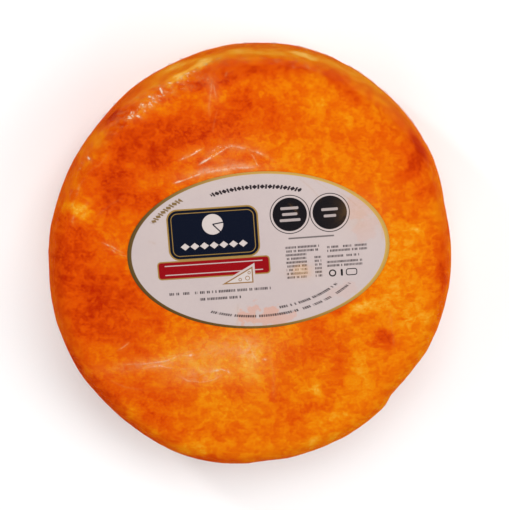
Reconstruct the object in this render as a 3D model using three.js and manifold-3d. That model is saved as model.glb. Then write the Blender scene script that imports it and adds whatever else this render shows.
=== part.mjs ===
// A wheel of pressed, aged cheese with a chilli-pasted rind, sealed in clear film.
// An oval paper label lies on the top face, under the film.
// Millimetres, +Z up. The origin is the middle of the flat underside, and +Y is the label's top.
import * as THREE from "three";
import { mergeVertices } from "three/addons/utils/BufferGeometryUtils.js";
import Module from "manifold-3d";

// The wheel.
const WHEEL_DIAMETER = 300;
const WHEEL_HEIGHT = 100;
const SHOULDER_RADIUS = 17; // the rounding of the top edge
const HEEL_RADIUS = 12; // the rounding of the bottom edge
const BELLY = 2.5; // how far the side swells at mid height
const CROWN = 3; // how far the top rises from its edge to its middle

// The mould and the shelf leave the rim out of round: each entry moves the side out, or in
// where it is negative, around one compass angle, over a soft width in degrees.
const RIM_SWELLS = [
  { at: 34, width: 14, out: 2.8 },
  { at: 66, width: 32, out: 5 },
  { at: 154, width: 60, out: -6 },
  { at: 264, width: 38, out: 6.5 },
  { at: 323, width: 14, out: -2.8 },
];

// The label.
const LABEL_LENGTH = 190;
const LABEL_WIDTH = 117;
const LABEL_THICKNESS = 0.2;
const LABEL_CENTRE = new THREE.Vector2(9, 14);
const LABEL_TURN = THREE.MathUtils.degToRad(4);

// The film, a pouch drawn tight and closed by a straight seal on the underside.
const FILM_THICKNESS = 0.12;
const MOUTH_LENGTH = 170;
const MOUTH_WIDTH = 0.8; // the slit that is left along the seal
const MOUTH_OFFSET = -42; // from the middle of the underside, along Y

const CONTACT_GAP = 0.3; // between pieces that touch

// How finely the round surfaces are cut.
const RIM_STEPS = 72;
const FLAT_STEPS = 6;
const SIDE_STEPS = 4;
const ROUNDING_STEPS = 5;
const LABEL_RIM_STEPS = 56;
const LABEL_RINGS = 5;

const wheelRadius = WHEEL_DIAMETER / 2;
const filmGapOnTop = CONTACT_GAP + LABEL_THICKNESS + CONTACT_GAP;

const rindMaterial = new THREE.MeshStandardMaterial({ color: 0xd96a12, roughness: 0.6, metalness: 0 });
const labelMaterial = new THREE.MeshStandardMaterial({ color: 0xe2d8d9, roughness: 0.7, metalness: 0 });
const filmMaterial = new THREE.MeshStandardMaterial({
  color: 0xf4f4f2,
  roughness: 0.12,
  metalness: 0,
  transparent: true,
  opacity: 0.2,
});

const wasm = await Module();
wasm.setup();

// How much wider than a true circle the rim is, as a factor, at an angle in radians.
function rimFactor(angle) {
  let out = 0;
  for (const swell of RIM_SWELLS) {
    const away = THREE.MathUtils.euclideanModulo(THREE.MathUtils.radToDeg(angle) - swell.at + 180, 360) - 180;
    out += swell.out * Math.exp(-((away / swell.width) ** 2));
  }
  return 1 + out / wheelRadius;
}

// How far the crown lifts the top, at a distance from the axis of the round wheel.
function crownLift(radius) {
  return CROWN * Math.max(0, 1 - (radius / wheelRadius) ** 2);
}

// Height of the rind's top face over its underside, at a point of the finished wheel.
function rindTopAt(x, y) {
  return WHEEL_HEIGHT + crownLift(Math.hypot(x, y) / rimFactor(Math.atan2(y, x)));
}

function line(from, to, steps) {
  return Array.from({ length: steps + 1 }, (_, i) => from.clone().lerp(to, i / steps));
}

function rounding(x, y, xRadius, yRadius, fromAngle, toAngle) {
  return new THREE.EllipseCurve(x, y, xRadius, yRadius, fromAngle, toAngle).getPoints(ROUNDING_STEPS);
}

// Half the wheel's section from the underside's middle up to the top's middle, moved out
// from the rind by `side` below and at the side, and by `top` on the top face.
function section(side, top) {
  const heel = rounding(
    wheelRadius - HEEL_RADIUS, HEEL_RADIUS, HEEL_RADIUS + side, HEEL_RADIUS + side, -Math.PI / 2, 0);
  const shoulder = rounding(
    wheelRadius - SHOULDER_RADIUS, WHEEL_HEIGHT - SHOULDER_RADIUS,
    SHOULDER_RADIUS + side, SHOULDER_RADIUS + top, 0, Math.PI / 2);
  const underside = line(new THREE.Vector2(0, -side), heel[0], FLAT_STEPS);
  const wall = line(heel.at(-1), shoulder[0], SIDE_STEPS);
  const face = line(shoulder.at(-1), new THREE.Vector2(0, WHEEL_HEIGHT + top), FLAT_STEPS);
  return [...underside, ...heel.slice(1), ...wall.slice(1), ...shoulder.slice(1), ...face.slice(1)];
}

// Turns a section round the axis and gives it the wheel's real, uneven form.
function turned(points) {
  const geometry = new THREE.LatheGeometry(points, RIM_STEPS).rotateX(Math.PI / 2);
  const position = geometry.attributes.position;
  const p = new THREE.Vector3();
  for (let i = 0; i < position.count; i++) {
    p.fromBufferAttribute(position, i);
    const radius = Math.hypot(p.x, p.y);
    const height = THREE.MathUtils.clamp(p.z / WHEEL_HEIGHT, 0, 1);
    const outward = radius / wheelRadius;
    const belly = 1 + (BELLY / wheelRadius) * Math.sin(Math.PI * height) * outward;
    const factor = rimFactor(Math.atan2(p.y, p.x)) * belly;
    p.z += crownLift(radius) * THREE.MathUtils.smoothstep(height, 0.5, 0.8);
    position.setXYZ(i, p.x * factor, p.y * factor, p.z);
  }
  return closed(geometry);
}

// The geometry with its shared vertices merged, which makes it one closed surface.
function closed(geometry) {
  geometry.deleteAttribute("normal");
  geometry.deleteAttribute("uv");
  return mergeVertices(geometry, 1e-4);
}

function solidOf(geometry) {
  return new wasm.Manifold(new wasm.Mesh({
    numProp: 3,
    vertProperties: geometry.attributes.position.array,
    triVerts: new Uint32Array(geometry.index.array),
  }));
}

function geometryOf(solid) {
  const mesh = solid.getMesh();
  const geometry = new THREE.BufferGeometry();
  geometry.setAttribute("position", new THREE.BufferAttribute(mesh.vertProperties, mesh.numProp));
  geometry.setIndex(new THREE.BufferAttribute(mesh.triVerts, 1));
  return geometry;
}

function piece(name, geometry, material) {
  geometry.computeVertexNormals();
  const mesh = new THREE.Mesh(geometry, material);
  mesh.name = name;
  return mesh;
}

function makeCheese() {
  return piece("cheese_wheel", turned(section(0, 0)), rindMaterial);
}

// The oval sheet, laid on the crown of the top face.
function makeLabel() {
  const bottom = line(new THREE.Vector2(0, 0), new THREE.Vector2(1, 0), LABEL_RINGS);
  const top = line(new THREE.Vector2(1, LABEL_THICKNESS), new THREE.Vector2(0, LABEL_THICKNESS), LABEL_RINGS);
  const geometry = new THREE.LatheGeometry([...bottom, ...top], LABEL_RIM_STEPS)
    .rotateX(Math.PI / 2)
    .scale(LABEL_LENGTH / 2, LABEL_WIDTH / 2, 1)
    .rotateZ(LABEL_TURN)
    .translate(LABEL_CENTRE.x, LABEL_CENTRE.y, CONTACT_GAP);
  const position = geometry.attributes.position;
  for (let i = 0; i < position.count; i++) {
    position.setZ(i, position.getZ(i) + rindTopAt(position.getX(i), position.getY(i)));
  }
  return piece("paper_label", closed(geometry), labelMaterial);
}

// The pouch: a thin shell round the wheel and the label, open along its seal.
function makeFilm() {
  const inside = section(CONTACT_GAP, filmGapOnTop);
  const outside = section(CONTACT_GAP + FILM_THICKNESS, filmGapOnTop + FILM_THICKNESS);
  const mouth = new THREE.BoxGeometry(MOUTH_LENGTH, MOUTH_WIDTH, HEEL_RADIUS)
    .translate(0, MOUTH_OFFSET, -CONTACT_GAP);
  const shell = solidOf(turned(outside)).subtract(solidOf(turned(inside))).subtract(solidOf(closed(mouth)));
  return piece("clear_film", geometryOf(shell), filmMaterial);
}

// Puts the middle of the outer film's underside at the origin.
function seated(...pieces) {
  const wheel = new THREE.Group().add(...pieces);
  const box = new THREE.Box3().setFromObject(wheel);
  const middle = box.getCenter(new THREE.Vector3());
  wheel.position.set(-middle.x, -middle.y, -box.min.z);
  return new THREE.Group().add(wheel);
}

export default seated(makeCheese(), makeLabel(), makeFilm());
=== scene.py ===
import itertools
import math

import bmesh
import bpy
import numpy as np
from mathutils import Matrix, Vector


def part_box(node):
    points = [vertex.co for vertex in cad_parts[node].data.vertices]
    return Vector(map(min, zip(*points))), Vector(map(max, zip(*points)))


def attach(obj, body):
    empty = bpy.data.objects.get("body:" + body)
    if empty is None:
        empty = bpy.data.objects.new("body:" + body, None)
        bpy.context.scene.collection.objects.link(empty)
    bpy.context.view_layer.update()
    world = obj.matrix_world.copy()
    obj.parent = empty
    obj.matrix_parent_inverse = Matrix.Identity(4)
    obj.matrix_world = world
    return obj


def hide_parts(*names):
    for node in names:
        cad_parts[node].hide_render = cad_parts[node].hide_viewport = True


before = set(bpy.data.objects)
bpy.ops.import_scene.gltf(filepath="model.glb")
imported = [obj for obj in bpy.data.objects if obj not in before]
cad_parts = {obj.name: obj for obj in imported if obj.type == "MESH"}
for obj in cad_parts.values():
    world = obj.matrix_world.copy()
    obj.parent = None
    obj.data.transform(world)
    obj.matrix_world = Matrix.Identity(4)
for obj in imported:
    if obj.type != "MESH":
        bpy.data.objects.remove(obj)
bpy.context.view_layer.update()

MM = 0.001

# The wheel. Its place comes from the frame, and its sizes are those of the CAD source.
LABEL_LOW, LABEL_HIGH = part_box("paper_label")
LABEL_CENTRE = (LABEL_LOW + LABEL_HIGH) / 2
LABEL_FROM_AXIS = Vector((9, 14)) * MM
AXIS = Vector(LABEL_CENTRE[:2]) - LABEL_FROM_AXIS
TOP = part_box("cheese_wheel")[1].z
WHEEL_RADIUS = 150 * MM
CROWN = 3 * MM  # how far the top rises from its edge to its middle
UNDERSIDE = 2 * MM  # whatever lies lower is on the underside

# The label.
LABEL_LENGTH = 190 * MM
LABEL_WIDTH = 117 * MM
LABEL_TURN = math.radians(4)
LABEL_LIFT = 0.42 * MM  # from the rind up to the face of the paper
PAPER_THICKNESS = 0.15 * MM
HALF_LENGTH = LABEL_LENGTH / 2 / MM  # in millimetres, as the print is
HALF_WIDTH = LABEL_WIDTH / 2 / MM

# The heat seal across the underside, in millimetres.
SEAL_LENGTH = 170
SEAL_WIDTH = 9
SEAL_OFFSET = -42  # along Y from the axis

# How finely the surfaces are cut, and how near the ground their undersides may come.
CHEESE_PITCH = 1.75 * MM
FILM_PITCH = 2.5 * MM
CHEESE_LOWEST = 0.35 * MM
FILM_LOWEST = 0.1 * MM

# Bands of the unrolled wheel, in millimetres from the axis: where each starts, is full, starts
# to fade and ends.
SHOULDER_BAND = (132, 144, 158, 174)
SIDE_BAND = (128, 155, 225, 245)
HEEL_BAND = (205, 240, 275, 330)


# ---------------------------------------------------------------- fields on a surface

def corners(mesh):
    """The places of a mesh's vertices, as an array."""
    places = np.empty(len(mesh.vertices) * 3)
    mesh.vertices.foreach_get("co", places)
    return places.reshape(-1, 3)


def facings(mesh):
    """The normals at a mesh's vertices, as an array."""
    normals = np.empty(len(mesh.vertices) * 3)
    mesh.vertex_normals.foreach_get("vector", normals)
    return normals.reshape(-1, 3)


def smoothstep(values, start, end):
    """0 up to start, 1 from end on, smooth between."""
    share = np.clip((values - start) / (end - start), 0, 1)
    return share * share * (3 - 2 * share)


def between(values, start, full, fading, end):
    """1 from full to fading, 0 before start and after end, smooth between."""
    return smoothstep(values, start, full) * (1 - smoothstep(values, fading, end))


def smooth_noise(points, seed):
    """Gradient noise from about -1 to 1, on a lattice of cells of size 1."""
    random = np.random.default_rng(seed)
    order = random.permutation(256)
    slopes = random.normal(size=(256, 3))
    slopes /= np.linalg.norm(slopes, axis=1)[:, None]
    cell = np.floor(points).astype(int)
    part = points - cell
    fade = part ** 3 * (part * (part * 6 - 15) + 10)
    total = np.zeros(len(points))
    for corner in itertools.product((0, 1), repeat=3):
        x, y, z = ((cell + corner) % 256).T
        slope = slopes[order[(order[(order[x] + y) % 256] + z) % 256]]
        weight = np.prod(np.where(corner, fade, 1 - fade), axis=1)
        total += weight * ((part - corner) * slope).sum(axis=1)
    return 1.6 * total


def clouds(places, size, seed, octaves=3):
    """Fractal noise from about -1 to 1 at each place, with features of that size. Each use has
    a seed of its own."""
    return sum(
        smooth_noise(places / size * 2 ** octave + 0.37, 100 * seed + octave) / 2 ** octave
        for octave in range(octaves)
    )


def unrolled(places):
    """Where each place lies when the side is folded out flat round the top face: millimetres
    from the axis, with the top face as it is, then the side, then the underside."""
    offset = places[:, :2] - np.array(AXIS)
    radius = np.hypot(offset[:, 0], offset[:, 1])
    fallen = np.clip(TOP - places[:, 2], 0, None)
    under = places[:, 2] < UNDERSIDE
    reach = np.where(under, 2 * WHEEL_RADIUS - radius, radius) + fallen
    stretch = reach / np.maximum(radius, 1e-6)
    return offset * stretch[:, None] / MM


def polar(flat):
    """How far each unrolled place lies from the axis, and its compass angle in radians."""
    return np.hypot(flat[:, 0], flat[:, 1]), np.arctan2(flat[:, 1], flat[:, 0])


def patch(flat, centre, size, turn=0, edge=4):
    """1 in the middle of an oval patch, half at its edge and falling to 0 beyond."""
    angle = math.radians(turn)
    across = flat - np.array(centre)
    along = across[:, 0] * math.cos(angle) + across[:, 1] * math.sin(angle)
    over = across[:, 1] * math.cos(angle) - across[:, 0] * math.sin(angle)
    return 1 / (1 + np.hypot(along / size[0], over / size[1]) ** edge)


def line_distance(flat, points):
    """Distance of each place from a line through the points, and its share of the way along."""
    best = np.full(len(flat), np.inf)
    share = np.zeros(len(flat))
    points = [np.array(point, float) for point in points]
    lengths = [np.linalg.norm(b - a) for a, b in zip(points, points[1:])]
    done = 0
    for a, b, length in zip(points, points[1:], lengths):
        along = np.clip((flat - a) @ (b - a) / length ** 2, 0, 1)
        distance = np.linalg.norm(flat - a - along[:, None] * (b - a), axis=1)
        closer = distance < best
        best[closer] = distance[closer]
        share[closer] = (done + along[closer] * length) / sum(lengths)
        done += length
    return best, share


def set_attribute(mesh, name, values):
    """Stores one number at each vertex, for the material to read."""
    attribute = mesh.attributes.new(name, "FLOAT", "POINT")
    attribute.data.foreach_set("value", values.astype(np.float32))


# ---------------------------------------------------------------- meshes

def linked(name, mesh):
    """A new object of the scene with that mesh."""
    piece = bpy.data.objects.new(name, mesh)
    bpy.context.collection.objects.link(piece)
    return piece


def settled(piece):
    """Applies the piece's modifiers to its mesh."""
    view = bpy.context.evaluated_depsgraph_get()
    mesh = bpy.data.meshes.new_from_object(piece.evaluated_get(view))
    piece.modifiers.clear()
    piece.data = mesh
    return piece


def even_skin(cad_node, name, pitch):
    """A closed mesh of even quads with the rounded form of a CAD node."""
    piece = linked(name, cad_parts[cad_node].data.copy())
    piece.data.materials.clear()
    weld = piece.modifiers.new("weld", "WELD")
    weld.merge_threshold = 0.01 * MM
    rounded = piece.modifiers.new("rounded", "SUBSURF")
    rounded.levels = rounded.render_levels = 1
    even = piece.modifiers.new("even", "REMESH")
    even.mode = "VOXEL"
    even.voxel_size = pitch
    smooth = piece.modifiers.new("smooth", "SMOOTH")
    smooth.factor = 0.5
    smooth.iterations = 6
    return settled(piece)


def refined(piece, wanted):
    """Cuts the faces for which wanted(centres) is true into four."""
    cut = bmesh.new()
    cut.from_mesh(piece.data)
    chosen = wanted(np.array([face.calc_center_median()[:] for face in cut.faces]))
    edges = dict.fromkeys(
        edge for face, take in zip(cut.faces, chosen) if take for edge in face.edges)
    bmesh.ops.subdivide_edges(cut, edges=list(edges), cuts=1, use_grid_fill=True)
    cut.to_mesh(piece.data)
    cut.free()


def pushed(piece, amounts, lowest):
    """Moves each vertex out along its normal, but not below a height."""
    mesh = piece.data
    places = corners(mesh) + facings(mesh) * amounts[:, None]
    places[:, 2] = np.maximum(places[:, 2], lowest)
    mesh.vertices.foreach_set("co", places.ravel())
    mesh.update()
    mesh.shade_smooth()


# ---------------------------------------------------------------- materials

def node(tree, kind, inputs=None, **settings):
    """A new shader node with its settings made and its inputs set or linked."""
    made = tree.nodes.new("ShaderNode" + kind)
    for name, value in settings.items():
        setattr(made, name, value)
    for name, value in (inputs or {}).items():
        if isinstance(value, Field):
            value = value.socket
        if isinstance(value, bpy.types.NodeSocket):
            tree.links.new(value, made.inputs[name])
        else:
            made.inputs[name].default_value = value
    return made


class Field:
    """A number that varies over a surface. Formulas written with it become math nodes."""

    def __init__(self, tree, socket):
        self.tree = tree
        self.socket = socket

    def math(self, operation, *others, clamp=False):
        inputs = dict(enumerate((self, *others)))
        made = node(self.tree, "Math", inputs, operation=operation, use_clamp=clamp)
        return Field(self.tree, made.outputs[0])

    def __add__(self, other):
        return self.math("ADD", other)

    def __sub__(self, other):
        return self.math("SUBTRACT", other)

    def __mul__(self, other):
        return self.math("MULTIPLY", other)

    def __truediv__(self, other):
        return self.math("DIVIDE", other)

    def __neg__(self):
        return self * -1.0

    def __abs__(self):
        return self.math("ABSOLUTE")

    def clamped(self):
        """Kept from 0 to 1."""
        return self.math("ADD", 0.0, clamp=True)

    def at_least(self, other):
        return self.math("MAXIMUM", other)

    def at_most(self, other):
        return self.math("MINIMUM", other)

    def length_with(self, other):
        """The length of a step of this much one way and the other across it."""
        return (self * self + other * other).math("SQRT")

    def ramp(self, start, end):
        """0 up to start, 1 from end on, smooth between."""
        inputs = {"Value": self, "From Min": start, "From Max": end}
        made = node(self.tree, "MapRange", inputs, interpolation_type="SMOOTHSTEP")
        return Field(self.tree, made.outputs[0])


def material(name):
    """A new material's node tree, empty but for its output."""
    made = bpy.data.materials.new(name)
    made.use_nodes = True
    made.node_tree.nodes.clear()
    node(made.node_tree, "OutputMaterial")
    return made


def output(made, socket):
    """The material, with the socket joined to its surface."""
    out = made.node_tree.nodes["Material Output"]
    made.node_tree.links.new(socket, out.inputs["Surface"])
    return made


def linear(red, green, blue):
    """An sRGB colour of three numbers up to 255, as the shader's linear colour."""
    def straight(value):
        share = value / 255
        return share / 12.92 if share <= 0.04045 else ((share + 0.055) / 1.055) ** 2.4
    return (straight(red), straight(green), straight(blue), 1.0)


def mixed(tree, share, first, second):
    """The socket of a colour that goes from first to second."""
    made = node(tree, "Mix", {"Factor": share}, data_type="RGBA")
    for place, value in ((6, first), (7, second)):
        if isinstance(value, bpy.types.NodeSocket):
            tree.links.new(value, made.inputs[place])
        else:
            made.inputs[place].default_value = value
    return made.outputs[2]


def stored(tree, name):
    """A number that set_attribute stored at the vertices."""
    return Field(tree, node(tree, "Attribute", attribute_name=name).outputs["Fac"])


def texture(tree, kind, size, stretch=None, bend=0.0, settings=None, **inputs):
    """A procedural texture with features of that size in metres, on the object's own place.
    The place is stretched along its axes, or moved about by up to bend, if they are given."""
    where = node(tree, "TexCoord").outputs["Object"]
    if stretch:
        where = node(tree, "Mapping", {"Vector": where, "Scale": stretch}).outputs[0]
    if bend:
        waves = node(tree, "TexNoise", {"Vector": where, "Scale": 1 / size, "Detail": 2.0})
        from_middle = {0: waves.outputs["Color"], 1: (0.5, 0.5, 0.5)}
        centred = node(tree, "VectorMath", from_middle, operation="SUBTRACT")
        to_bend = {0: centred.outputs[0], "Scale": 2 * bend}
        shift = node(tree, "VectorMath", to_bend, operation="SCALE")
        where = node(tree, "VectorMath", {0: where, 1: shift.outputs[0]}).outputs[0]
    found = node(tree, kind, {"Vector": where, "Scale": 1 / size, **inputs}, **(settings or {}))
    return Field(tree, found.outputs[0])


# ---------------------------------------------------------------- the cheese

# Places where the chilli paste lies thick and red, and along the near left edge painted shade too:
# centre, half size, turn, strength.
RED_AND_PAINTED_SHADE_PATCHES = [
    # the left
    ((-130, -5), (28, 52), 8, 0.26), ((-95, -18), (28, 15), -12, 0.24),
    ((-100, -42), (28, 15), -6, 0.16), ((-128, 22), (16, 16), 0, 0.06),
    ((-141, -4), (8, 24), 0, 0.08), ((-142, 83), (10, 9), 0, 0.14), ((-148, 66), (9, 9), 0, 0.10),
    ((-132, 57), (9, 4), -14, 0.14), ((-80, -58), (16, 7), -20, 0.12),
    # above the label, and up to the shoulder
    ((-45, 106), (62, 16), 8, 0.20), ((-95, 66), (13, 23), -8, 0.28),
    ((-61, 86), (9, 9), 20, 0.22), ((-84, 95), (12, 8), 10, 0.16), ((-71, 52), (10, 6), 20, 0.20),
    ((-55, 108), (8, 6), 0, 0.12), ((-75, 84), (52, 30), 30, 0.10), ((-78, 40), (22, 22), 0, 0.08),
    ((50, 110), (34, 22), 0, 0.04), ((-2, 128), (7, 6), 30, 0.22), ((-4, 117), (8, 5), 0, 0.12),
    ((17, 117), (5, 7), 0, 0.16), ((12, 105), (20, 6), 12, 0.10), ((-25, 100), (14, 5), 10, 0.10),
    ((-16, 80), (20, 5), 6, 0.24),
    # the dark band along the far shoulder
    ((-20, 152), (26, 12), 6, 0.26), ((-38, 139), (11, 5), -6, 0.26),
    ((-17, 140), (10, 5), 20, 0.16), ((13, 153), (15, 9), -4, 0.22), ((36, 158), (15, 8), 4, 0.30),
    ((66, 150), (11, 8), -42, 0.30), ((78, 134), (13, 7), -46, 0.20),
    ((-61, 131), (8, 3), -10, 0.22), ((-58, 139), (6, 3), -10, 0.20),
    ((-106, 124), (17, 8), -14, 0.42), ((-122, 133), (22, 13), -34, 0.18),
    ((-116, 165), (15, 20), 38, 0.14),
    # the right
    ((135, 96), (9, 9), 0, 0.32), ((124, 79), (8, 13), -34, 0.30), ((137, 59), (11, 5), 0, 0.30),
    ((122, 92), (26, 24), -20, 0.14), ((119, 42), (6, 8), 0, 0.14), ((151, 8), (10, 26), 0, 0.28),
    ((145, -8), (9, 8), 0, 0.14), ((153, -26), (5, 16), 0, 0.18), ((102, -56), (7, 8), 20, 0.32),
    ((128, 118), (26, 14), -20, 0.10),
    # below the label
    ((53, -46), (5, 8), 10, 0.22), ((44, -64), (19, 9), 14, 0.18), ((70, -64), (6, 14), 10, 0.18),
    ((70, -84), (5, 9), -10, 0.16), ((23, -98), (6, 12), 0, 0.12), ((48, -110), (15, 5), 34, 0.18),
    ((-7, -98), (9, 6), -44, 0.20), ((18, -128), (8, 7), 0, 0.10), ((80, -24), (9, 3), 16, 0.20),
    ((60, -34), (14, 5), 24, 0.16), ((-64, -44), (9, 5), -30, 0.20),
    ((112, -95), (13, 7), 40, 0.06),
    # the near left edge: deep paste, and painted shade along the limb
    ((-64, -100), (30, 12), -6, 0.16), ((-73, -120), (13, 8), 0, 0.26),
    ((-61, -134), (15, 7), 28, 0.20), ((-86, -138), (14, 6), -42, 0.14),
    ((-28, -131), (13, 7), 0, 0.12), ((-113, -100), (28, 9), -42, 0.22),
    ((-136, -76), (9, 18), 22, 0.20), ((-30, -157), (21, 5), 2, 0.26),
    ((-108, -118), (30, 9), -42, 0.13), ((-90, -84), (16, 7), 0, 0.08),
    ((20, -168), (60, 10), 4, 0.14),
]

# Places where the rind shows through thin paste, paler and yellower, and on the far side wall
# painted light too.
PALE_AND_PAINTED_LIGHT_PATCHES = [
    ((-120, 43), (9, 8), -30, 0.38), ((-136, 47), (9, 4), -8, 0.26),
    ((-127, 66), (14, 12), 0, 0.10), ((-120, 101), (22, 13), -30, 0.14),
    ((-8, -58), (26, 9), -4, 0.13), ((-24, -77), (15, 7), 0, 0.18), ((2, -72), (6, 14), 0, 0.15),
    ((-52, -70), (24, 8), 16, 0.12), ((88, -28), (17, 6), 20, 0.18),
    ((122, -24), (22, 30), 0, 0.06), ((128, -40), (9, 7), 0, 0.10), ((84, -86), (14, 16), 0, 0.10),
    ((50, -93), (5, 6), 0, 0.16), ((70, -115), (14, 6), 10, 0.12), ((48, -139), (7, 6), 0, 0.12),
    ((26, -144), (32, 8), 0, 0.06), ((-4, -113), (14, 7), 0, 0.10),
    ((-22, -104), (13, 14), 0, 0.12), ((-86, -116), (8, 8), 0, 0.26),
    ((-70, -132), (6, 5), 0, 0.18), ((-38, -142), (9, 14), 0, 0.20),
    ((50, 127), (15, 9), 10, 0.09), ((75, 118), (12, 5), 0, 0.06), ((36, 84), (9, 5), 0, 0.08),
    # the patches 170 mm and more from the axis lie on the far side wall: paler partly as painted
    # light falling from behind
    ((0, 190), (80, 15), 0, 0.22), ((-52, 154), (11, 7), 44, 0.34), ((-35, 170), (9, 12), 0, 0.34),
    ((55, 188), (8, 12), 0, 0.24), ((-78, 188), (22, 26), 0, 0.10),
    ((104, 172), (40, 14), -36, 0.18), ((105, 132), (5, 4), 0, 0.16),
    ((110, 22), (9, 12), 0, 0.08), ((120, 27), (5, 5), 0, 0.12), ((-76, 121), (10, 5), 30, 0.24),
    ((-52, 146), (10, 4), 40, 0.2), ((-33, 164), (9, 6), 42, 0.16),
]


def label_cover(flat, fade):
    """1 where the label lies, falling to 0 at fade times its size."""
    turn = np.array(Matrix.Rotation(LABEL_TURN, 2))
    across = (flat - np.array(LABEL_FROM_AXIS) / MM) @ turn
    reach = np.hypot(across[:, 0] / HALF_LENGTH, across[:, 1] / HALF_WIDTH)
    return 1 - smoothstep(reach, 1.0, fade)


def paste_depth_and_painted_light(places):
    """How thick and red the paste lies, from 0, bare and pale, to 1, deep red, with painted light
    in it: partly painted shade towards the left and along the near left edge, and paler on the far
    side wall as painted light.
    """
    flat = unrolled(places)
    warp = np.stack([clouds(places, 16 * MM, seed) for seed in (1, 2)], axis=1)
    fine_warp = np.stack([clouds(places, 5 * MM, seed, 2) for seed in (3, 4)], axis=1)
    bent = flat + 4.5 * warp + 2 * fine_warp
    # Deeper paste towards the left, thinner towards the right: partly painted shade, the left
    # darker and redder, as less light falls there.
    rightward = np.clip(flat[:, 0] * MM / WHEEL_RADIUS, -1, 1)
    depth = 0.40 - 0.03 * rightward
    for centre, size, turn, strength in RED_AND_PAINTED_SHADE_PATCHES:
        depth += strength * patch(bent, centre, size, turn)
    for centre, size, turn, strength in PALE_AND_PAINTED_LIGHT_PATCHES:
        depth -= strength * patch(bent, centre, size, turn)
    depth += 0.05 * clouds(places, 30 * MM, 5) + 0.05 * clouds(places, 9 * MM, 6)
    out_of_sight = smoothstep(polar(flat)[0], 180, 215)
    depth += out_of_sight * (0.06 + 0.2 * clouds(places, 34 * MM, 16))
    return np.clip(depth, 0, 1)


# Where the side stands out further than a plain wheel's, or less: compass angle, how far in
# millimetres, and over how many degrees it fades clockwise and anticlockwise.
BULGES = [
    (27, 0.9, 4, 5), (15, -0.8, 6, 5), (138, -1.1, 9, 9), (181, -0.9, 7, 7), (213, 0.8, 7, 6),
    (257, 1.7, 15, 9), (276, -0.9, 4, 5), (303, 1.5, 14, 15), (313, 0.8, 5, 2), (317, -1.0, 2, 4),
    (332, 1.2, 11, 8),
]


def side_bulge(flat):
    """How far the side stands out at each place, in millimetres."""
    reach, angle = polar(flat)
    bulge = np.zeros(len(flat))
    for at, out, clockwise, anticlockwise in BULGES:
        away = (np.degrees(angle) - at + 180) % 360 - 180
        bulge += out * np.exp(-(away / np.where(away < 0, clockwise, anticlockwise)) ** 2)
    return bulge * between(reach, *SIDE_BAND)


def rind_relief(places):
    """How far the rind stands out from the plain wheel: soft dents, and grain over them."""
    flat = unrolled(places)
    under_label = label_cover(flat, 1.25)
    lumps = 0.45 * clouds(places, 45 * MM, 7, 2) + 0.22 * clouds(places, 14 * MM, 8, 2)
    grain = 0.12 * clouds(places, 4.5 * MM, 9, 2)
    return ((lumps + grain) * (1 - 0.85 * under_label) + side_bulge(flat)) * MM


RIND_COLOURS = [  # along the depth of the paste, from bare rind to the deepest red
    (0.00, linear(228, 170, 76)),
    (0.12, linear(220, 146, 34)),
    (0.24, linear(218, 126, 9)),
    (0.36, linear(216, 110, 5)),
    (0.50, linear(210, 90, 5)),
    (0.70, linear(202, 69, 4)),
    (1.00, linear(170, 36, 3)),
]


def rind_material():
    """Chilli paste, its stored depth, painted light and shade included, broken up by noise, from
    clouds down to grains and cracks.
    """
    made = material("chilli_rind")
    tree = made.node_tree
    cloudy = texture(tree, "TexNoise", 13 * MM, Detail=4.0, Roughness=0.6, Distortion=0.8)
    blots = texture(
        tree, "TexNoise", 6.5 * MM, bend=3 * MM,
        Detail=4.0, Roughness=0.62, Distortion=0.5)
    brushed = texture(
        tree, "TexNoise", 3.4 * MM, stretch=(0.6, 1.4, 1.0),
        Detail=4.0, Roughness=0.65, Distortion=0.5)
    grains = texture(tree, "TexNoise", 1.6 * MM, Detail=1.0, Roughness=0.6)
    cracks = texture(
        tree, "TexVoronoi", 4.6 * MM, bend=3 * MM,
        settings={"feature": "DISTANCE_TO_EDGE"}, Randomness=1.0)
    # the stored depth carries painted shade and painted light as well as the paste
    depth = stored(tree, "paste")
    cracked = cracks.ramp(0.14, 0.0) * depth.ramp(0.3, 0.7) * cloudy.ramp(0.4, 0.6)
    depth = depth + (cloudy - 0.5) * 0.30 + (blots.ramp(0.42, 0.58) - 0.5) * 0.15
    depth = depth + (brushed - 0.5) * 0.42 + (grains - 0.5) * 0.16 + cracked * 0.10

    ramp = node(tree, "ValToRGB", {"Fac": depth})
    while len(ramp.color_ramp.elements) < len(RIND_COLOURS):
        ramp.color_ramp.elements.new(1.0)
    for element, (place, colour) in zip(ramp.color_ramp.elements, RIND_COLOURS):
        element.position = place
        element.color = colour

    rough = (grains - 0.5) * 0.3 + 0.6
    bumps = grains * 0.5 + brushed * 0.5
    bump = node(tree, "Bump", {"Strength": 0.3, "Distance": 0.5 * MM, "Height": bumps})
    shader = node(tree, "BsdfPrincipled", {
        "Base Color": ramp.outputs["Color"],
        "Roughness": rough,
        "Normal": bump.outputs["Normal"],
        "Specular IOR Level": 0.0,
    })
    return output(made, shader.outputs["BSDF"])


def make_cheese():
    piece = even_skin("cheese_wheel", "cheese", CHEESE_PITCH)
    places = corners(piece.data)
    set_attribute(piece.data, "paste", paste_depth_and_painted_light(places))
    pushed(piece, rind_relief(places), CHEESE_LOWEST)
    piece.data.materials.append(rind_material())
    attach(piece, "root")
    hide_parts("cheese_wheel")
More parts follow.
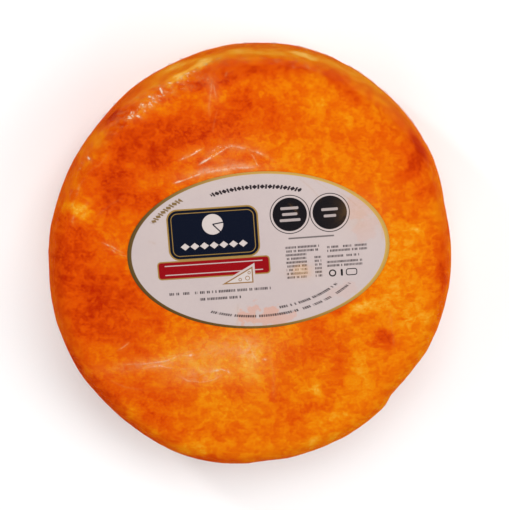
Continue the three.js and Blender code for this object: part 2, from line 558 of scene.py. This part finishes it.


# ---------------------------------------------------------------- the film

# Creases, and over the label lines of painted glare: points, height and half width in millimetres,
# whiteness.
CREASES_AND_GLARE_LINES = [
    # the tent that stands above the label's top edge
    ([(-36, 77), (-28, 81.5), (-20, 86.5), (-13, 90), (-6, 89)], 1.8, 1.2, 0.62),
    ([(-31, 82), (-24, 87), (-17, 91), (-8, 91), (0, 89.5), (9, 87), (16, 84), (24, 80)],
     1.6, 1.8, 0.32),
    ([(2, 88), (5, 83), (7, 79), (10, 75.5)], 1.4, 1.1, 0.42),
    ([(-51, 80), (-43, 84.5), (-35, 88), (-28, 91)], 1.0, 1.1, 0.42),
    ([(-55, 63), (-45, 67.5), (-37, 71), (-28, 73.5)], 1.2, 1.1, 0.62),
    ([(-36, 71), (-20, 75), (-4, 76.5), (12, 76.5)], 0.8, 1.9, 0.26),
    ([(-11, 80), (-7, 77.5), (-3, 76.5)], 0.7, 1.0, 0.20),
    ([(8, 86), (14, 84), (21, 82.5)], 0.6, 1.2, 0.15),
    ([(-34, 80), (-24, 87), (-15, 90.5), (-6, 90.5), (2, 89), (12, 86), (20, 83)], 0.5, 3.2, 0.18),
    ([(-54, 64), (-40, 71), (-24, 76), (-8, 78), (8, 78), (18, 77)], 0.4, 3.6, 0.2),
    ([(-24, 82), (-12, 81), (-2, 79), (8, 78)], 0.4, 2.4, 0.12),
    # the folds that come down from the far shoulder
    ([(-24, 147), (-24.5, 138), (-26, 130), (-27, 121), (-25, 111)], 0.7, 1.1, 0.12),
    ([(-23, 141), (-22.5, 133), (-21.5, 126)], 0.6, 0.8, 0.13),
    ([(-21, 121), (-22, 110), (-24, 98)], 0.4, 0.8, 0.05),
    # left of the label
    ([(-107, 21), (-98, 18), (-89, 12)], 1.2, 1.1, 0.36),
    ([(-96, 14), (-91, 11), (-87, 10)], 0.7, 0.7, 0.20),
    ([(-96, -64), (-90, -60), (-85, -56)], 0.8, 0.7, 0.23),
    ([(-112, 38), (-100, 48), (-88, 54)], 0.4, 0.7, 0.05),
    ([(-120, 70), (-106, 80), (-96, 92)], 0.4, 0.8, 0.04),
    ([(-128, 56), (-118, 70)], 0.5, 0.8, 0.06),
    # the long folds below the label
    ([(-104, -73), (-78, -74), (-60, -70), (-44, -65), (-28, -60)], 0.9, 1.0, 0.15),
    ([(-82, -79), (-64, -74), (-50, -76), (-36, -75)], 0.7, 0.9, 0.14),
    ([(-68, -68), (-52, -66), (-40, -67), (-30, -63)], 0.7, 0.8, 0.13),
    ([(-52, -80), (-44, -86), (-34, -87.5), (-24, -85), (-15, -79)], 0.8, 0.8, 0.17),
    ([(-26, -78), (-18, -76.5), (-12, -79)], 0.6, 0.8, 0.20),
    ([(-2, -50), (4, -62), (9, -74)], 0.6, 0.9, 0.10),
    ([(17, -46), (18, -66), (20, -86), (22, -106)], 1.0, 1.7, 0.07),
    ([(13, -70), (16, -69)], 0.6, 0.8, 0.20), ([(107, -30), (110, -62)], 0.8, 1.2, 0.07),
    ([(-106, -84), (-90, -92), (-72, -94)], 0.5, 0.9, 0.07),
    # over the label: thin lines whitened as painted glare
    ([(36, 71), (46, 62), (56, 50)], 0.5, 0.7, 0.08),
    ([(44, 72), (54, 64), (62, 58)], 0.5, 0.6, 0.08),
    ([(64, 60), (76, 52), (84, 45)], 0.5, 0.8, 0.10),
    ([(94, 41), (99, 32), (100, 20)], 0.6, 1.0, 0.17), ([(29, 50), (38, 40)], 0.4, 0.5, 0.05),
    ([(-5, -24), (-6, -34), (-7, -46)], 0.6, 1.1, 0.07),
    ([(8, -30), (6, -40), (9, -48)], 0.5, 0.8, 0.07), ([(-72, 22), (-64, 19)], 0.4, 0.7, 0.10),
]

# Small facets that catch the light, their whiteness a painted highlight: centre, half length, turn,
# whiteness.
GLINTS = [
    ((-63.5, 137), 4.6, -62, 0.8), ((-118.7, 85), 2.4, -36, 0.6), ((-139, 81), 1.8, -50, 0.3),
    ((-97, 14), 2.0, -40, 0.3), ((-20, 92), 1.6, 10, 0.35), ((-43, 85), 2.4, 28, 0.35),
    ((-46, 67), 2.6, 32, 0.3), ((-41, -66), 1.6, 20, 0.3), ((-13, -79), 1.6, -60, 0.3),
    ((-22, -78), 2.2, 10, 0.3), ((14, -69), 1.6, 0, 0.3), ((-85.7, 114.6), 2.2, -10, 0.6),
]

# Clumps of such facets along the far shoulder, whitened as painted highlights: centre, spread,
# turn, count, whiteness.
GLINT_CLUMPS = [
    ((-74, 123), (7, 4), 34, 26, 0.8), ((-83, 118), (5, 3), 26, 9, 0.55),
    ((-66, 131), (5, 3), 50, 10, 0.6), ((-50, 148), (7, 2.5), 36, 12, 0.6),
    ((-39, 157), (6, 2.5), 42, 9, 0.5), ((-31, 166), (7, 3), 42, 11, 0.5),
    ((-126, 82), (9, 4), 60, 7, 0.3), ((-10, 165), (20, 6), 0, 10, 0.25),
    ((42, 160), (22, 5), -14, 10, 0.3), ((-32, 146), (20, 4), 10, 9, 0.2),
    ((-125, 52), (8, 12), 0, 8, 0.25),
]

# Where the film stands off the rind and turns milky, and two spots of painted glare over the label:
# centre, half size, turn, whiteness.
SLACK_AND_GLARE = [
    ((-33, -81), (19, 7), 6, 0.22), ((-12, -60), (26, 10), 8, 0.2), ((4, -70), (10, 16), 0, 0.14),
    ((-62, -72), (26, 4), 10, 0.18), ((-84, -76), (18, 3), 4, 0.10), ((-12, 74), (26, 3), 6, 0.16),
    ((-18, 85), (14, 5), 10, 0.05), ((-24, 137), (3.5, 9), 6, 0.14), ((84, 42), (12, 12), 0, 0.10),
    # these two, over the label's print, are painted highlight: glare off the film
    ((41, -2), (8, 3.5), 0, 0.24), ((40, 1.5), (5, 3), 10, 0.22),
]


def film_material():
    """Film that is clear, but white where it is creased or slack, and where glints, fold crests and
    glare are painted as highlights, with a faint gloss outside.
    """
    made = material("clear_film")
    tree = made.node_tree
    haze_and_glare = stored(tree, "slack")
    # white creases, with the painted highlights of the glints and the shoulder's fold crests
    streak = stored(tree, "crease")
    wisps = texture(tree, "TexNoise", 7 * MM, Detail=4.0, Roughness=0.65, Distortion=1.0)
    ripples = texture(tree, "TexNoise", 9 * MM, Detail=2.0)
    fine = texture(tree, "TexNoise", 2.2 * MM, Detail=3.0, Roughness=0.6)
    broken = ripples.ramp(0.3, 0.55) * 0.6 + fine.ramp(0.3, 0.5) * 0.4
    milk_and_painted_highlight = haze_and_glare * wisps.ramp(0.2, 0.6) + streak * broken
    bump = node(tree, "Bump", {"Strength": 0.1, "Distance": 0.3 * MM, "Height": fine})
    gloss = node(tree, "BsdfAnisotropic", {"Roughness": 0.1, "Normal": bump.outputs["Normal"]})
    clear = node(tree, "BsdfTransparent")
    # the paler colour is also that of the painted glints and glare
    hue = mixed(tree, milk_and_painted_highlight.ramp(0.12, 0.55), linear(247, 184, 104), linear(249, 228, 200))
    white = node(tree, "BsdfDiffuse", {"Color": hue})
    body = node(tree, "MixShader", {0: milk_and_painted_highlight.clamped(), 1: clear.outputs[0], 2: white.outputs[0]})
    surface = {"IOR": 1.5, "Normal": bump.outputs["Normal"]}
    fresnel = Field(tree, node(tree, "Fresnel", surface).outputs[0])
    inner_side = Field(tree, node(tree, "NewGeometry").outputs["Backfacing"])
    shine = (fresnel * 0.012 + 0.005) * (inner_side * -1.0 + 1.0)
    whole = node(tree, "MixShader", {0: shine, 1: body.outputs[0], 2: gloss.outputs[0]})
    return output(made, whole.outputs[0])


def all_glints():
    """The single glints, and those of the clumps, scattered with a fixed seed."""
    chance = np.random.default_rng(18)
    glints = list(GLINTS)
    for centre, spread, turn, count, whiteness in GLINT_CLUMPS:
        angle = math.radians(turn)
        for along, across in chance.normal(0, 0.6, (count, 2)) * spread:
            x = centre[0] + along * math.cos(angle) - across * math.sin(angle)
            y = centre[1] + along * math.sin(angle) + across * math.cos(angle)
            half_length, lean, strength = chance.uniform((0.8, -40, 0.4), (2.8, 40, 1.0))
            glints.append(((x, y), half_length, turn - 90 + lean, strength * whiteness))
    return glints


def crease_reach(flat):
    """How near each place is to a crease or a glint, from 0 to 1."""
    widest = 1.3  # the soft flanks of a wider crease need no finer faces
    near = np.zeros(len(flat))
    for points, _, half_width, _ in CREASES_AND_GLARE_LINES:
        distance, _ = line_distance(flat, points)
        near = np.maximum(near, np.exp(-(distance / (3 * min(half_width, widest))) ** 2))
    for centre, half_length, turn, _ in all_glints():
        near = np.maximum(near, patch(flat, centre, (half_length + 1, 2), turn))
    return near


def ridges(across, along, slice_, sharpness, seed):
    """Thin ridges with a spacing of about 1 across and a length of about 1 along, 1 at their
    crests and 0 between them. Another slice gives others."""
    places = np.stack([across, along, np.full(len(across), slice_)], axis=1)
    return np.clip(1 - sharpness * np.abs(clouds(places, 1.0, seed)), 0, 1) ** 1.5


def gathers(flat):
    """Short folds across the shoulder, where the film was drawn in, and where they lie."""
    reach, angle = polar(flat)
    round_the_rim = angle * WHEEL_RADIUS / MM
    far_left, spread = 118, 20  # degrees
    here = between(reach, *SHOULDER_BAND)
    here *= np.exp(-((np.degrees(angle) - far_left) / spread) ** 2) + 0.12
    return here * ridges(round_the_rim / 6 - reach / 9, reach / 16, 0.0, 2.2, 11), here


def heel_folds(flat):
    """Folds drawn in under the wheel, from the bottom of the side round the heel."""
    reach, angle = polar(flat)
    round_the_rim = angle * WHEEL_RADIUS / MM
    return between(reach, *HEEL_BAND) * ridges(round_the_rim / 11, reach / 40, 1.0, 2.6, 17)


def seal_band(places):
    """1 on the straight heat seal under the wheel, 0 elsewhere."""
    x, y = (places[:, :2] - np.array(AXIS)).T / MM
    here = (places[:, 2] < UNDERSIDE) & (abs(x) < SEAL_LENGTH / 2)
    return here * np.exp(-((y - SEAL_OFFSET) / (SEAL_WIDTH / 2)) ** 6)


def film_skin():
    """An even skin, cut finer where the film has creases, glints or gathers."""
    piece = even_skin("cheese_wheel", "film", FILM_PITCH)

    def busy(centres):
        flat = unrolled(centres)
        return (crease_reach(flat) > 0.25) | (gathers(flat)[1] > 0.4)

    refined(piece, busy)
    refined(piece, lambda centres: crease_reach(unrolled(centres)) > 0.4)
    refined(piece, lambda centres: crease_reach(unrolled(centres)) > 0.8)
    return piece


def creased(flat, bent):
    """How far the film rises at its creases and glints, in millimetres, and how white it is, the
    glints' white being painted highlight.
    The creases run through the bent places, so that they aren't quite straight."""
    rise = np.zeros(len(flat))
    streak = np.zeros(len(flat))
    for points, height, half_width, whiteness in CREASES_AND_GLARE_LINES:
        distance, share = line_distance(bent, points)
        ends = between(share, 0, 0.3, 0.7, 1)
        rise += height * ends * np.exp(-distance / half_width)
        core = np.exp(-(distance / (0.7 * half_width)) ** 2)
        halo = 0.25 * np.exp(-distance / (2 * half_width))
        streak = np.maximum(streak, whiteness * ends * (core + halo))
    for centre, half_length, turn, whiteness in all_glints():
        spot = patch(flat, centre, (half_length, 0.8), turn, 3)
        rise += 0.25 * spot
        # the glint's painted highlight
        streak = np.maximum(streak, whiteness * spot)
    return rise, streak


def film_form(places):
    """How far the film stands off the plain wheel, how white its creases are, with painted
    highlights at its glints and fold crests, and how milky it is where it hangs slack, with painted
    glare over the label."""
    flat = unrolled(places)
    warp = np.stack([clouds(places, 30 * MM, seed, 2) for seed in (12, 13)], axis=1)
    bent = flat + 1.6 * warp
    rise, streak = creased(flat, bent)
    rise += 0.25 + 0.12 * clouds(places, 40 * MM, 14, 2) + 0.08 * clouds(places, 7 * MM, 15, 2)
    rise += side_bulge(flat)
    folds, _ = gathers(flat)
    rise += 0.9 * folds
    # the fold crests are whitened as painted highlight, the glints along the far shoulder
    streak = np.maximum(streak, 0.22 * folds ** 2)

    # Clear of the label and of the rind.
    rise = np.maximum(rise, 0.8 * label_cover(flat, 1.06))
    rise = np.maximum(rise, rind_relief(places) / MM + 0.12)

    folds = heel_folds(flat)
    rise += 0.7 * folds
    streak = np.maximum(streak, 0.35 * folds ** 2)
    streak = np.maximum(streak, 0.5 * seal_band(places))

    slack = np.zeros(len(flat))
    for centre, size, turn, whiteness in SLACK_AND_GLARE:
        # milky film, and the painted glare over the label
        slack += whiteness * patch(bent, centre, size, turn)
    return rise * MM, streak, slack


def make_film():
    piece = film_skin()
    rise, streak, slack = film_form(corners(piece.data))
    # the milky slack with the painted glare, and the white creases with the painted highlights of
    # glints and fold crests
    set_attribute(piece.data, "slack", slack)
    set_attribute(piece.data, "crease", streak)
    pushed(piece, rise, FILM_LOWEST)
    piece.data.materials.append(film_material())
    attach(piece, "root")
    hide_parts("clear_film")


# ---------------------------------------------------------------- the label

def label_mesh():
    """A flat oval sheet round the origin, cut into rings."""
    rings, spokes = 26, 160
    grid = bmesh.new()
    centre = grid.verts.new((0, 0, 0))
    circles = []
    for ring in range(1, rings + 1):
        share = ring / rings
        circles.append([
            grid.verts.new((
                share * LABEL_LENGTH / 2 * math.cos(2 * math.pi * spoke / spokes),
                share * LABEL_WIDTH / 2 * math.sin(2 * math.pi * spoke / spokes), 0))
            for spoke in range(spokes)
        ])
    for spoke in range(spokes):
        after = (spoke + 1) % spokes
        grid.faces.new((centre, circles[0][spoke], circles[0][after]))
        for inner, outer in zip(circles, circles[1:]):
            grid.faces.new((inner[spoke], outer[spoke], outer[after], inner[after]))
    mesh = bpy.data.meshes.new("label")
    grid.to_mesh(mesh)
    grid.free()
    return mesh


# The label's print. Its places and sizes are in millimetres from the label's middle.
PRINT_EDGE = 0.22  # over which an ink's edge fades
PLAQUE_CENTRE, PLAQUE_SIZE = (-31.5, 15.5), (64, 36)
BAND_CENTRE, BAND_SIZE = (-33, -10.5), (80, 12)
LINE_PITCH = 2.8  # of the fine print
LARGEST_FINE_PRINT = 2.0
PRINT_PAPER = linear(189, 174, 171)
PRINT_GOLD = linear(150, 118, 62)
# the gold border's painted shade and painted highlight, standing in for how light falls on the foil
PRINT_GOLD_PAINTED_SHADE = linear(96, 74, 38)
PRINT_GOLD_PAINTED_HIGHLIGHT = linear(190, 152, 76)
PRINT_OLIVE = linear(122, 98, 66)
PRINT_NAVY = linear(12, 17, 32)
PRINT_RED = linear(136, 10, 18)
PRINT_CREAM = linear(196, 184, 180)
PRINT_BROWN = linear(140, 104, 62)
PRINT_BLACK = linear(22, 20, 24)
PRINT_INK = linear(44, 36, 40)
PRINT_ARCS = [  # ring as a share of the oval, start and end in degrees, size, ink
    (0.81, 64, 114, 3.2, PRINT_INK),
    (0.90, 128, 151, 3.6, PRINT_OLIVE),
    (0.84, -118, -36, 1.9, PRINT_INK),
    (0.755, -80, -40, 1.9, PRINT_INK),
]
PRINT_BLOCKS = [  # the left, right and top of a block of fine print, its size and line count
    (19.5, 34.5, 2.2, 1.7, 9),
    (34.5, 44.0, 2.2, 1.7, 2),
    (40.0, 45.0, -6.2, 1.7, 6),
    (49.5, 78.5, 0.6, 1.7, 2),
    (49.5, 73.0, -6.4, 1.7, 1),
    (49.0, 74.5, -10.6, 1.7, 2),
    (-67.0, 7.0, -27.0, 2.0, 1),
    (-45.0, -15.0, -32.2, 2.0, 1),
]
PRINT_SEALS = [  # centre, and the height and width of each bar
    ((24.4, 25.4), [(4.6, 13), (0.2, 11), (-4.2, 15)]),
    ((53.2, 24.8), [(2.4, 12), (-2.4, 9)]),
]
STAINS = [  # centre, half size, strength
    ((-14, -50), (6, 6), 0.34), ((-7, -47), (3, 8), 0.3), ((5, -47), (6, 5), 0.34),
    ((14, -52), (10, 4), 0.26), ((0, -53), (14, 3), 0.3), ((72, 26), (13, 9), 0.14),
    ((78, 10), (8, 9), 0.1), ((60, -34), (12, 5), 0.08),
]


class Drawing:
    """Flat inks laid over one another on the label, in millimetres from its middle."""

    def __init__(self, tree, x, y, colour):
        self.tree, self.x, self.y = tree, x, y
        self.colour = colour

    def ink(self, mask, colour, strength=1.0):
        """Prints a colour where mask is 1."""
        share = mask * strength if strength < 1 else mask
        self.colour = mixed(self.tree, share, self.colour, colour)

    def disc(self, centre, radius):
        """Signed distance from a disc's edge, negative inside, as are the other shapes."""
        return (self.x - centre[0]).length_with(self.y - centre[1]) - radius

    def plate(self, centre, size, corner=0.0):
        """A rectangle, with rounded corners if corner is their radius."""
        across = abs(self.x - centre[0]) - (size[0] / 2 - corner)
        along = abs(self.y - centre[1]) - (size[1] / 2 - corner)
        outside = across.at_least(0.0).length_with(along.at_least(0.0))
        return outside + across.at_least(along).at_most(0.0) - corner

    def side(self, point, turn):
        """Signed distance past a straight line through a point; turn is where it faces."""
        angle = math.radians(turn)
        return (self.x - point[0]) * math.cos(angle) + (self.y - point[1]) * math.sin(angle)

    def ray(self, start, turn, length, half_width):
        """A straight stroke from a point."""
        along = self.side(start, turn)
        across = abs(self.side(start, turn + 90)) - half_width
        return across.at_least(along - length).at_least(-along)

    def reach(self):
        """How far out each place lies, as a share of the way to the label's edge."""
        return (self.x / HALF_LENGTH).length_with(self.y / HALF_WIDTH)

    def printed(self, draw):
        """Adds what a function draws, worked out in a node group of its own."""
        group = bpy.data.node_groups.new(draw.__name__, "ShaderNodeTree")
        kinds = {"X": "NodeSocketFloat", "Y": "NodeSocketFloat", "Colour": "NodeSocketColor"}
        for name, kind in kinds.items():
            group.interface.new_socket(name, in_out="INPUT", socket_type=kind)
        group.interface.new_socket("Colour", in_out="OUTPUT", socket_type="NodeSocketColor")
        given = group.nodes.new("NodeGroupInput").outputs
        x, y = Field(group, given["X"]), Field(group, given["Y"])
        drawing = Drawing(group, x, y, given["Colour"])
        draw(drawing)
        group.links.new(drawing.colour, group.nodes.new("NodeGroupOutput").inputs["Colour"])
        placed = self.tree.nodes.new("ShaderNodeGroup")
        placed.node_tree = group
        for name, socket in (("X", self.x.socket), ("Y", self.y.socket), ("Colour", self.colour)):
            self.tree.links.new(socket, placed.inputs[name])
        self.colour = placed.outputs["Colour"]


def inside(distance):
    """1 within a shape, 0 outside it, with a soft printed edge."""
    return (distance * -(1 / PRINT_EDGE) + 0.5).clamped()


def outline(distance, half_width):
    """1 along a shape's edge, 0 elsewhere."""
    return inside(abs(distance) - half_width)


def fine_print(run, across, height, pitch, row):
    """A line of print too small to read: short strokes of uneven darkness, with word gaps."""
    tree = run.tree
    cell = run / pitch
    spot = node(tree, "CombineXYZ", {"X": cell.math("FLOOR"), "Y": row})
    chance = Field(tree, node(
        tree, "TexWhiteNoise", {"Vector": spot.outputs[0]}, noise_dimensions="2D").outputs["Value"])
    stroke = inside(abs(cell.math("FRACT") - 0.5) * pitch - 0.36 * pitch)
    line = inside(abs(across) - height / 2)
    no_gap = chance.ramp(0.12, 0.18)
    darkness = chance * 0.35 + 0.65
    return stroke * line * no_gap * darkness


def print_emblem(drawing):
    """A plain plaque with a cut cheese on it, over a plain band."""
    band = drawing.plate(BAND_CENTRE, BAND_SIZE, 2.0)
    band_rim = 0.9
    drawing.ink(inside(band - band_rim), PRINT_GOLD)
    drawing.ink(inside(band), PRINT_RED)
    plaque = drawing.plate(PLAQUE_CENTRE, PLAQUE_SIZE, 7.0)
    plaque_rim = 1.1
    drawing.ink(inside(plaque - plaque_rim), PRINT_GOLD)
    drawing.ink(inside(plaque), PRINT_NAVY)
    drawing.ink(outline(plaque + 2 * plaque_rim, 0.25), PRINT_GOLD)

    middle = (PLAQUE_CENTRE[0], PLAQUE_CENTRE[1] + 6.5)
    radius = 7.6
    cheese = inside(drawing.disc(middle, radius))
    first_cut, second_cut = (inside(drawing.ray(middle, turn, 9, 0.45)) for turn in (8, -48))
    drawing.ink((cheese - (first_cut + second_cut)).clamped(), PRINT_CREAM)

    lozenge_pitch, lozenge_count, half_height = 7.0, 7, 2.6
    row_y = PLAQUE_CENTRE[1] - 9.0
    cell = (drawing.x - PLAQUE_CENTRE[0]) / lozenge_pitch + 0.5
    beside = abs(cell.math("FRACT") - 0.5) * lozenge_pitch
    lozenges = beside * 0.8 + abs(drawing.y - row_y) - half_height
    within = abs(drawing.x - PLAQUE_CENTRE[0]) - lozenge_count / 2 * lozenge_pitch
    drawing.ink(inside(lozenges.at_least(within)), PRINT_CREAM)

    rule_size = (BAND_SIZE[0] - 9, 0.7)
    for offset in (-3.4, 3.4):
        rule = drawing.plate((BAND_CENTRE[0], BAND_CENTRE[1] + offset), rule_size)
        drawing.ink(inside(rule), PRINT_CREAM, 0.8)


def print_wedge(drawing):
    """A slice of cheese, in outline."""
    base, back = drawing.side((-13, -23), -90), drawing.side((-5.5, -18), 0)
    wedge = base.at_least(back).at_least(drawing.side((-14, -16.5), 118))
    margin = 2.0
    drawing.ink(inside(wedge - margin), PRINT_PAPER)
    drawing.ink(inside(wedge), PRINT_CREAM)
    drawing.ink(outline(wedge, 0.45), PRINT_BROWN)
    for centre, radius in (((-9.2, -19.8), 1.5), ((-14.6, -20.6), 1.0), ((-7.8, -15.8), 0.9)):
        drawing.ink(outline(drawing.disc(centre, radius), 0.25), PRINT_BROWN)


def print_seals(drawing):
    """Two plain round seals with a pale ring and plain bars in them, over a plain rule."""
    radius, ring_start, ring_end = 12.4, 1.4, 2.0
    for centre, bars in PRINT_SEALS:
        seal = drawing.disc(centre, radius)
        drawing.ink(inside(seal - ring_end), PRINT_BLACK)
        drawing.ink(inside(seal - ring_start), PRINT_PAPER)
        drawing.ink(inside(seal), PRINT_BLACK)
        for height, width in bars:
            bar = drawing.plate((centre[0], centre[1] + height), (width, 2.0), 0.8)
            drawing.ink(inside(bar), PRINT_PAPER, 0.75)
    rule = drawing.plate((38.8, 7.6), (33, 1.2), 0.4)
    drawing.ink(inside(rule), PRINT_BLACK, 0.7)


def print_blocks(drawing):
    """Blocks of fine print."""
    for row, (left, right, top, size, count) in enumerate(PRINT_BLOCKS):
        line = ((drawing.y - top) / -LINE_PITCH).math("FLOOR")
        across = ((drawing.y - top) / -LINE_PITCH).math("FRACT") * LINE_PITCH - LINE_PITCH / 2
        marks = fine_print(drawing.x, across, size, 0.62 * size, line + 20.0 * row)
        block = ((left + right) / 2, top - LINE_PITCH * count / 2)
        within = inside(drawing.plate(block, (right - left, LINE_PITCH * count)))
        drawing.ink(marks * within, PRINT_INK)


def print_signs(drawing):
    """A row of small plain signs: a ring, a bar and a rounded box."""
    row_y = -20.4
    ring = drawing.disc((52.6, row_y), 2.2)
    bar = drawing.plate((59.3, row_y), (1.6, 5.2), 0.8)
    box = drawing.plate((66.4, row_y), (7.6, 4.6), 1.6)
    drawing.ink(outline(ring, 0.5), PRINT_BLACK)
    drawing.ink(inside(bar), PRINT_BLACK)
    drawing.ink(outline(box, 0.35), PRINT_BLACK)


def print_arcs(drawing):
    """Lines that follow the label's edge: fine print, and bars with beads where they are larger."""
    reach = drawing.reach()
    angle = (drawing.y / HALF_WIDTH).math("ARCTAN2", drawing.x / HALF_LENGTH) * (180 / math.pi)
    steepness = (drawing.x / HALF_LENGTH ** 2).length_with(drawing.y / HALF_WIDTH ** 2)
    run = angle * ((HALF_LENGTH + HALF_WIDTH) / 2 * math.pi / 180)
    for row, (ring, start, end, size, colour) in enumerate(PRINT_ARCS):
        across = (reach - ring) * reach / steepness
        within = inside((abs(angle - (start + end) / 2) - (end - start) / 2) * 1.4)
        if size > LARGEST_FINE_PRINT:
            pitch = 1.4 * size
            cell = (run * ring / pitch).math("FRACT")
            bead = abs(cell - 0.7) * pitch + abs(across) - 0.52 * size
            bar = (abs(cell - 0.2) * pitch - 0.18 * size).at_least(abs(across) - size / 2)
            marks = inside(bead.at_most(bar))
        else:
            marks = fine_print(run * ring, across, size, 0.7 * size, 40.0 + row)
        drawing.ink(marks * within, colour)


def print_border_with_painted_light(drawing):
    """A gold edge, with painted shade towards the near left and a painted highlight towards the far
    right.
    """
    # painted light: from painted shade at the near left to painted highlight at the far right
    lit = drawing.side((0, 0), 35).ramp(-60, 60)
    gold = mixed(drawing.tree, lit, PRINT_GOLD_PAINTED_SHADE, PRINT_GOLD_PAINTED_HIGHLIGHT)
    drawing.ink(drawing.reach().ramp(0.966, 0.971), gold)


def soaked(tree, x, y):
    """How far the paste has soaked into the paper, in stains with wandering edges."""
    smear = texture(tree, "TexNoise", 7 * MM, Detail=3.0) * 14 - 7
    spread = texture(tree, "TexNoise", 5 * MM, Detail=2.0) * 1.2 + 0.4
    deepest = None
    for centre, size, strength in STAINS:
        across = (x + smear - centre[0]) / size[0]
        along = (y + smear - centre[1]) / size[1]
        spot = (across.length_with(along) * spread).ramp(1.1, 0.8) * strength
        deepest = spot if deepest is None else deepest.at_least(spot)
    return deepest


def label_material():
    """Printed paper, a little mottled, with stains where the paste has soaked in."""
    made = material("label_paper")
    tree = made.node_tree
    where = node(tree, "SeparateXYZ", {"Vector": node(tree, "TexCoord").outputs["Object"]})
    x = Field(tree, where.outputs["X"]) / MM
    y = Field(tree, where.outputs["Y"]) / MM
    fibres = texture(tree, "TexNoise", 3 * MM, Detail=5.0, Roughness=0.7)
    cloudy = texture(tree, "TexNoise", 30 * MM, Detail=2.0)
    mottle = (fibres - 0.3 + (cloudy - 0.5) * 1.4).clamped()
    paper = mixed(tree, mottle * 0.5, PRINT_PAPER, linear(174, 158, 160))

    drawing = Drawing(tree, x, y, paper)
    drawing.ink(soaked(tree, x, y), linear(212, 122, 66))
    prints = (
        print_arcs, print_blocks, print_signs, print_emblem, print_wedge, print_seals, print_border_with_painted_light)
    for draw in prints:
        drawing.printed(draw)
    bump = node(tree, "Bump", {"Strength": 0.15, "Distance": 0.2 * MM, "Height": fibres})
    shader = node(tree, "BsdfPrincipled", {
        "Base Color": drawing.colour,
        "Roughness": 0.5,
        "Specular IOR Level": 0.1,
        "Normal": bump.outputs["Normal"],
    })
    return output(made, shader.outputs["BSDF"])


def make_label():
    piece = linked("label", label_mesh())
    place = Matrix.Translation((*LABEL_CENTRE[:2], 0))
    piece.matrix_world = place @ Matrix.Rotation(LABEL_TURN, 4, "Z")
    places = corners(piece.data)
    turned = places[:, :2] @ np.array(Matrix.Rotation(LABEL_TURN, 2))[:2, :2].T
    flat = turned + np.array(LABEL_FROM_AXIS)
    rind_top = TOP - CROWN * (polar(flat)[0] / WHEEL_RADIUS) ** 2
    places[:, 2] = rind_top + LABEL_LIFT
    piece.data.vertices.foreach_set("co", places.ravel())
    piece.data.shade_smooth()
    thick = piece.modifiers.new("thick", "SOLIDIFY")
    thick.thickness = PAPER_THICKNESS
    settled(piece)
    piece.data.materials.append(label_material())
    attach(piece, "root")
    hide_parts("paper_label")


# ---------------------------------------------------------------- the stage

FLOOR_SIZE = 6
FLOOR_COLOUR = (0.96, 0.96, 0.96, 1)
WORLD_COLOUR = (1, 1, 1, 1)
WORLD_STRENGTH = 0.14
CAMERA_DISTANCE = 1.3
CAMERA_TILT = math.radians(15)  # from straight down, towards the top of the label
CAMERA_ASIDE = Vector((6.6, 9.7)) * MM  # where it looks, right of and above the top's middle
CAMERA_LENS = 126.3


def make_floor():
    bpy.ops.mesh.primitive_plane_add(size=FLOOR_SIZE, location=(0, 0, 0))
    floor = bpy.context.object
    floor.name = "floor"
    made = material("floor")
    paint = {"Base Color": FLOOR_COLOUR, "Roughness": 1.0}
    shader = node(made.node_tree, "BsdfPrincipled", paint)
    floor.data.materials.append(output(made, shader.outputs["BSDF"]))


def aim(thing, place, target):
    """Puts a light at a place, facing the target."""
    thing.location = place
    thing.rotation_mode = "QUATERNION"
    thing.rotation_quaternion = (Vector(target) - Vector(place)).to_track_quat("-Z", "Y")


def make_light(name, place, size, power, glossy=False):
    """A soft area light on the wheel's top; only a glossy one shows in reflections."""
    light = bpy.data.lights.new(name, "AREA")
    light.shape = "RECTANGLE"
    light.size, light.size_y = size
    light.energy = power
    lamp = bpy.data.objects.new(name, light)
    lamp.visible_glossy = glossy
    bpy.context.collection.objects.link(lamp)
    aim(lamp, place, (0, 0, TOP))


def make_lights():
    make_light("window", place=(-0.8, 0.85, 0.95), size=(0.14, 0.14), power=4, glossy=True)
    make_light("overhead", place=(0.2, 1.0, 1.85), size=(1.3, 0.8), power=24.5)
    make_light("soft_right", place=(1.3, 0.1, 1.2), size=(1.2, 1.2), power=13)
    make_light("soft_left", place=(-1.4, 0.1, 1.2), size=(1.2, 1.2), power=7)
    make_light("soft_front", place=(0.1, -1.6, 1.1), size=(1.6, 0.8), power=12.5)
    world = bpy.data.worlds.new("studio")
    world.use_nodes = True
    background = world.node_tree.nodes["Background"].inputs
    background["Color"].default_value = WORLD_COLOUR
    background["Strength"].default_value = WORLD_STRENGTH
    bpy.context.scene.world = world


def make_camera():
    back = Vector((0, math.sin(CAMERA_TILT), math.cos(CAMERA_TILT)))
    up = Vector((0, math.cos(CAMERA_TILT), -math.sin(CAMERA_TILT)))
    right = Vector((1, 0, 0))
    target = Vector((*AXIS, TOP - CROWN)) + right * CAMERA_ASIDE.x + up * CAMERA_ASIDE.y
    camera = bpy.data.objects.new("camera", bpy.data.cameras.new("camera"))
    bpy.context.collection.objects.link(camera)
    place = target + back * CAMERA_DISTANCE
    turn = Matrix((right, up, back)).transposed().to_4x4()
    camera.matrix_world = Matrix.Translation(place) @ turn
    camera.data.lens = CAMERA_LENS
    camera.data.clip_start = 0.01
    bpy.context.scene.camera = camera


make_camera()
make_floor()
make_lights()
make_cheese()
make_label()
make_film()
bpy.context.scene.view_settings.view_transform = "Standard"
